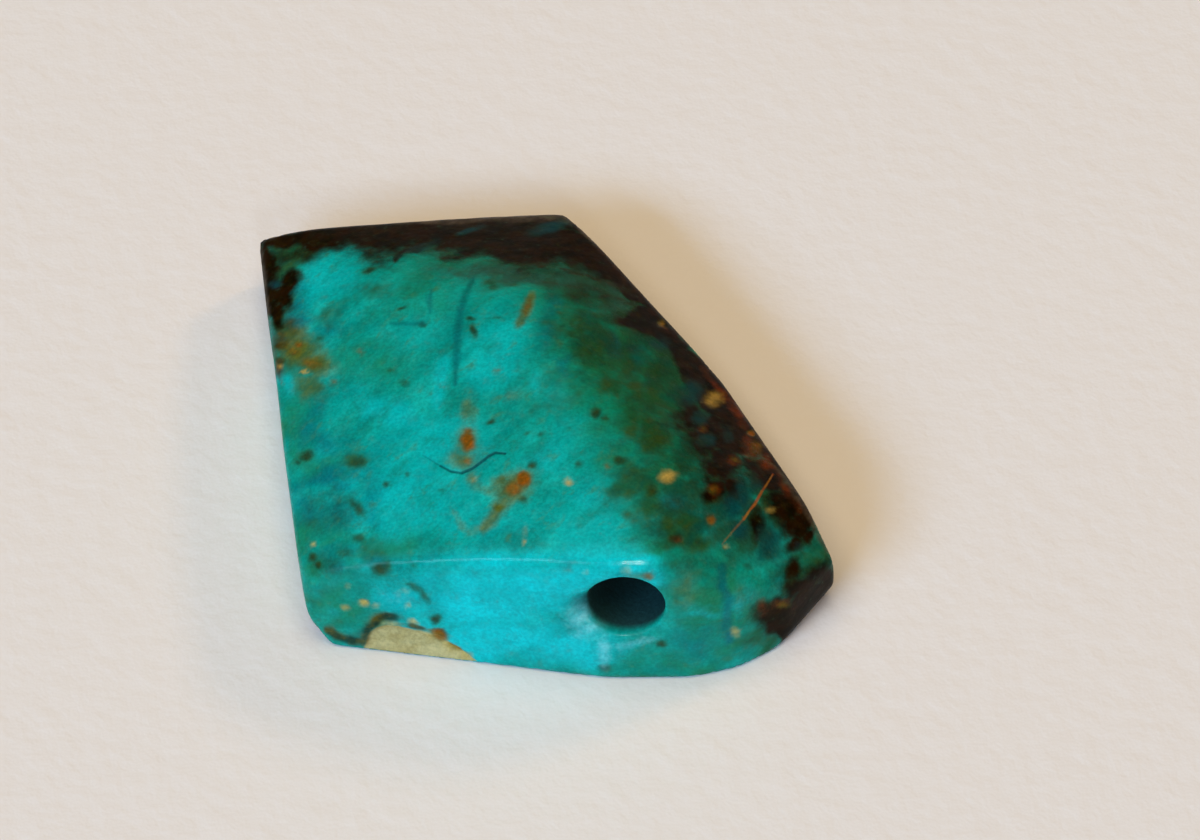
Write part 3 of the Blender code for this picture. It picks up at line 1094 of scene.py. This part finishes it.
HIDDEN_PATCHES = Blotches(0.5, 6.0, 0.6, 0.52, 0.62)
HIDDEN_TONES = Blotches(2.4, 5.0, 0.55, 0.4, 0.6)
CRACKS = (0.7, 4.0, 0.5)
CRACK_WIDTH = 0.02  # a crack is where the noise is this close to its middle
CRACK_COVER = 0.8

SPECULAR_LEVEL = 0.05
POLISH = Blotches(2.2, 5.0, 0.55, 0.3, 0.7, 0.2, 0.32)  # its values are roughnesses
ROUGH_SHARES = {"host": 0.8, "scuff_and_rim_highlight": 0.5, "matrix": 0.2}  # the wall of the hole has 1
ROUGHENING = 0.5  # what a share of 1 adds to the roughness of the polish
RIDGE_ROUGHNESS = 0.6  # share of its roughness that the polished ridge keeps

RIPPLES = (1.3, 2.0)
FINE_TEXTURE = (9.0, 3.0)
FINE_TEXTURE_SHARE = 0.12
ROUGH_TEXTURE = (7.0, 4.0)
STONE_BUMP = 0.5
STONE_BUMP_DEPTH = 0.04

PAPER_COLOUR = (0.8, 0.79, 0.77, 1)
PAPER_ROUGHNESS = 0.9
PAPER_SPECULAR = 0.1
PAPER_TOOTH = (1.6, 3.0)
PAPER_BUMP = 0.4
PAPER_BUMP_DEPTH = 0.1


def new_material(name):
    """An empty material, and the short calls that fill it."""
    material = bpy.data.materials.new(name)
    material.use_nodes = True
    return material, Nodes(material.node_tree)


def millimetres(nodes):
    """The object's own coordinates, in millimetres."""
    coordinate = nodes.add("ShaderNodeTexCoord").outputs["Object"]
    return nodes.vector("SCALE", coordinate, 1 / MM)


def streaked(nodes, place):
    """Coordinates for noise that is drawn out along the faint streaks of the stone."""
    mapping = nodes.add("ShaderNodeMapping", vector_type="TEXTURE")
    nodes.put(mapping.inputs["Vector"], place)
    mapping.inputs["Rotation"].default_value = (0, 0, STREAK_TURN)
    mapping.inputs["Scale"].default_value = (STREAK_STRETCH, 1, 1)
    return mapping.outputs[0]


def bumped(nodes, height, strength, depth):
    """Normal of a surface that a height field roughens, depth millimetres at most."""
    bump = nodes.add("ShaderNodeBump")
    bump.inputs["Strength"].default_value = strength
    bump.inputs["Distance"].default_value = depth * MM
    nodes.put(bump.inputs["Height"], height)
    return bump.outputs[0]


def surface(nodes, colour, roughness, specular, normal):
    """Joins the shader to the material's output."""
    shader = nodes.add("ShaderNodeBsdfPrincipled")
    nodes.put(shader.inputs["Base Color"], colour)
    nodes.put(shader.inputs["Roughness"], roughness)
    shader.inputs["Specular IOR Level"].default_value = specular
    nodes.put(shader.inputs["Normal"], normal)
    output = nodes.add("ShaderNodeOutputMaterial")
    nodes.put(output.inputs["Surface"], shader.outputs[0])


def clouds(nodes, streaks):
    """Clouds of three tones of turquoise, which lie under all the marks."""
    level = nodes.noise(streaks, *CLOUDS)
    colour = nodes.mix(nodes.step(level, *CLOUD_MAIN_RANGE), CLOUD_DARK, CLOUD_MAIN)
    return nodes.mix(nodes.step(level, *CLOUD_LIGHT_RANGE), colour, CLOUD_LIGHT)


def mottled(nodes, streaks, colour):
    """The colour with darker mottling and green flecks over it."""
    colour = nodes.mix(nodes.blotches(streaks, MOTTLING), colour, MOTTLE_COLOUR)
    return nodes.mix(nodes.blotches(streaks, FLECKS), colour, FLECK_COLOUR)


def layer_mask(nodes, place, layer):
    """Share of a layer at each place, with an edge that wanders."""
    wander = nodes.math("SUBTRACT", nodes.noise(place, layer.grain), NOISE_MIDDLE)
    strength = nodes.field(layer.marks)
    edge = nodes.math("MULTIPLY_ADD", wander, layer.wander, strength)
    return nodes.step(edge, layer.start, layer.end, 0.0, layer.cover)


def marked(nodes, place, streaks, colour):
    """The colour with every layer over it, and the mask of each family's last layer."""
    masks = {}
    for layer in LAYERS:
        mask = layer_mask(nodes, place, layer)
        tone = nodes.blotches(streaks, Blotches(layer.grain, *LAYER_TONES))
        colour = nodes.mix(mask, colour, nodes.mix(tone, layer.first, layer.second))
        masks[layer.marks] = mask
        if layer.marks == MOTTLED_LAYER:
            colour = mottled(nodes, streaks, colour)
    return colour, masks


def hidden_matrix(nodes, place, colour):
    """Brown matrix and fine dark cracks on the sides that the camera never sees."""
    patches = nodes.blotches(place, HIDDEN_PATCHES)
    level = nodes.noise(place, *CRACKS)
    distance = nodes.math("ABSOLUTE", nodes.math("SUBTRACT", level, NOISE_MIDDLE))
    cracks = nodes.step(distance, 0.0, CRACK_WIDTH, CRACK_COVER, 0.0)
    share = nodes.math("MULTIPLY", nodes.math("MAXIMUM", patches, cracks), nodes.field("hidden"))
    tone = nodes.blotches(place, HIDDEN_TONES)
    return nodes.mix(share, colour, nodes.mix(tone, HIDDEN_DARK, HIDDEN_BROWN))


def rough_share(nodes, masks, bore):
    """How rough each place is, from 0 on the polish to 1 on the wall of the hole."""
    rough = bore
    for name, share in ROUGH_SHARES.items():
        rough = nodes.math("MAXIMUM", rough, nodes.math("MULTIPLY", masks[name], share))
    return rough


def stone_roughness(nodes, place, rough):
    """Roughness of the polish and the rough places, less on the polished ridge."""
    roughness = nodes.math("MULTIPLY_ADD", rough, ROUGHENING, nodes.blotches(place, POLISH))
    kept = nodes.step(nodes.field("ridge"), 0.0, 1.0, 1.0, RIDGE_ROUGHNESS)
    return nodes.math("MULTIPLY", roughness, kept)


def stone_texture(nodes, place, rough):
    """Height of the fine texture, stronger where the stone is rough."""
    ripples = nodes.noise(place, *RIPPLES)
    fine = nodes.noise(place, *FINE_TEXTURE)
    texture = nodes.math("MULTIPLY_ADD", fine, FINE_TEXTURE_SHARE, ripples)
    return nodes.math("MULTIPLY_ADD", rough, nodes.noise(place, *ROUGH_TEXTURE), texture)


def turquoise():
    material, nodes = new_material("turquoise")
    place = millimetres(nodes)
    streaks = streaked(nodes, place)
    colour, masks = marked(nodes, place, streaks, clouds(nodes, streaks))
    colour = hidden_matrix(nodes, place, colour)
    # Painted shade: the wall of the hole turns darker with depth.
    bore = nodes.step(nodes.field("bore"), *BORE_SHADE_RANGE)
    colour = nodes.mix(bore, colour, BORE_SHADE_COLOUR)
    colour = nodes.vector("SCALE", colour, nodes.blotches(place, FINE_GRAIN))
    rough = rough_share(nodes, masks, bore)
    roughness = stone_roughness(nodes, place, rough)
    normal = bumped(nodes, stone_texture(nodes, place, rough), STONE_BUMP, STONE_BUMP_DEPTH)
    surface(nodes, colour, roughness, SPECULAR_LEVEL, normal)
    return material


def paper():
    material, nodes = new_material("paper")
    tooth = nodes.noise(millimetres(nodes), *PAPER_TOOTH)
    normal = bumped(nodes, tooth, PAPER_BUMP, PAPER_BUMP_DEPTH)
    surface(nodes, PAPER_COLOUR, PAPER_ROUGHNESS, PAPER_SPECULAR, normal)
    return material


# ---------------------------------------------------------------- studio
FLOOR_SIZE = 6.0
FLOOR_DROP = 0.01 * MM
ROOM_COLOUR = (0.5, 0.47, 0.42, 1)
ROOM_STRENGTH = 0.08
# Angles are in degrees, lengths in metres and powers in watts. Matte says whether a light
# lights the matte part of a surface, and mirrored whether it shows in the polish.
Light = namedtuple(
    "Light", "name azimuth elevation distance width height power colour matte mirrored"
)
LIGHTS = (
    Light("window", 231, 29, 1.2, 0.76, 0.24, 12.9, (0.41, 0.65, 1.0), True, True),
    Light("glint", 278, 32, 1.2, 0.16, 0.12, 1.3, (0.9, 0.96, 1.0), True, True),
    Light("shine", 272, 32, 1.2, 0.22, 0.5, 22.0, (1.0, 1.0, 0.96), False, True),
    Light("lamp", 37, 34, 1.2, 0.20, 0.20, 2.4, (1.0, 0.52, 0.16), True, False),
    Light("ceiling", 200, 80, 1.4, 1.3, 1.3, 14.4, (1.0, 0.79, 0.52), True, False),
)


def floor():
    bpy.ops.mesh.primitive_plane_add(size=FLOOR_SIZE, location=(0, 0, -FLOOR_DROP))
    plane = bpy.context.active_object
    plane.name = "floor"
    plane.data.materials.append(paper())


def camera():
    rise = radians(CAMERA_ELEVATION)
    back = Vector((0, -cos(rise), sin(rise)))
    data = bpy.data.cameras.new("camera")
    data.lens = CAMERA_LENS
    data.sensor_width = CAMERA_SENSOR
    data.clip_start = MM
    eye = bpy.data.objects.new("camera", data)
    eye.location = (CAMERA_TARGET + back * CAMERA_DISTANCE) * MM
    eye.rotation_mode = "QUATERNION"
    eye.rotation_quaternion = (-back).to_track_quat("-Z", "Y")
    bpy.context.scene.collection.objects.link(eye)
    bpy.context.scene.camera = eye


def soft_light(light):
    """A rectangular light that looks at the stone from a compass angle and elevation."""
    data = bpy.data.lights.new(light.name, "AREA")
    data.shape = "RECTANGLE"
    data.size = light.width
    data.size_y = light.height
    data.energy = light.power
    data.color = light.colour
    lamp = bpy.data.objects.new(light.name, data)
    direction = Vector(facing(light.azimuth, light.elevation))
    lamp.location = direction * light.distance
    lamp.rotation_mode = "QUATERNION"
    lamp.rotation_quaternion = direction.to_track_quat("Z", "Y")
    lamp.visible_diffuse = light.matte
    lamp.visible_glossy = light.mirrored
    bpy.context.scene.collection.objects.link(lamp)


def studio():
    for light in LIGHTS:
        soft_light(light)
    world = bpy.data.worlds.new("room")
    world.use_nodes = True
    background = world.node_tree.nodes["Background"]
    background.inputs["Color"].default_value = ROOM_COLOUR
    background.inputs["Strength"].default_value = ROOM_STRENGTH
    bpy.context.scene.world = world
    bpy.context.scene.view_settings.view_transform = "Standard"


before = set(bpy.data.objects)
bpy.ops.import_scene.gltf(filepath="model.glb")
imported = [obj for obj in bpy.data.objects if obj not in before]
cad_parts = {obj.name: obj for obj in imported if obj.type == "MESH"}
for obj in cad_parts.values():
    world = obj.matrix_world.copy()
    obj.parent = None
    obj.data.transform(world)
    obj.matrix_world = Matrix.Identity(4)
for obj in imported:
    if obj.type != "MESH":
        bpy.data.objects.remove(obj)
cad_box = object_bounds()
nugget = nugget_piece()
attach(nugget, "root")
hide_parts(NODE)
floor()
camera()
studio()
